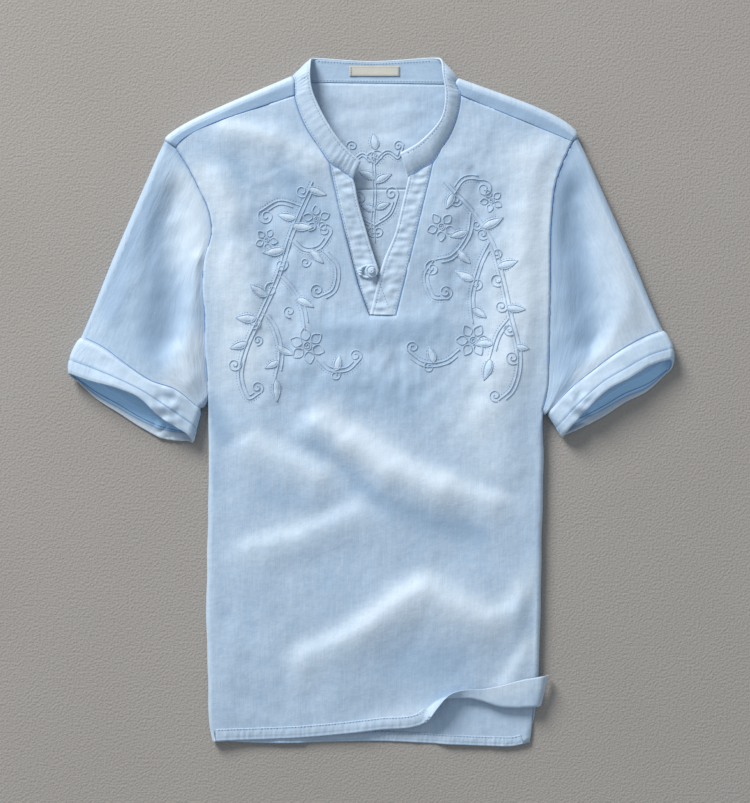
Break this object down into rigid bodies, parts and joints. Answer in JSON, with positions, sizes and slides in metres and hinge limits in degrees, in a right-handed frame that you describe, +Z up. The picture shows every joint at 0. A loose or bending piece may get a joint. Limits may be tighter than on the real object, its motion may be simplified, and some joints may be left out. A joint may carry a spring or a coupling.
{
  "type": "short-sleeved pullover linen shirt",
  "caption": "Short-sleeved pullover shirt with a band collar, a V opening with a knotted button and turned-up cuffs, laid flat with its sides tucked under.",
  "frame": {"origin": "on the underside of the back panel, on the resting plane under the middle of the shirt", "axes": "+Y from the hem to the collar, +Z up away from the surface the shirt lies on, +X to the right as seen from above"},
  "size_m": [0.6519, 0.7429, 0.0279],
  "materials": {
    "linen": "matt slubby plain weave, pale blue",
    "linen_double": "matt plain weave, doubled and stitched, pale blue",
    "cord": "matt cloth cord, pale blue",
    "label": "fine woven tape, cream"
  },
  "bodies": {
    "root": {"front_panel": "linen", "back_panel": "linen", "yoke": "linen", "sleeve_left": "linen", "sleeve_right": "linen", "cuff_left": "linen_double", "cuff_right": "linen_double", "collar_band": "linen_double", "placket_left": "linen_double", "placket_right": "linen_double", "knot_button": "cord", "button_loop": "cord", "size_label": "label"}
  },
  "joints": []
}
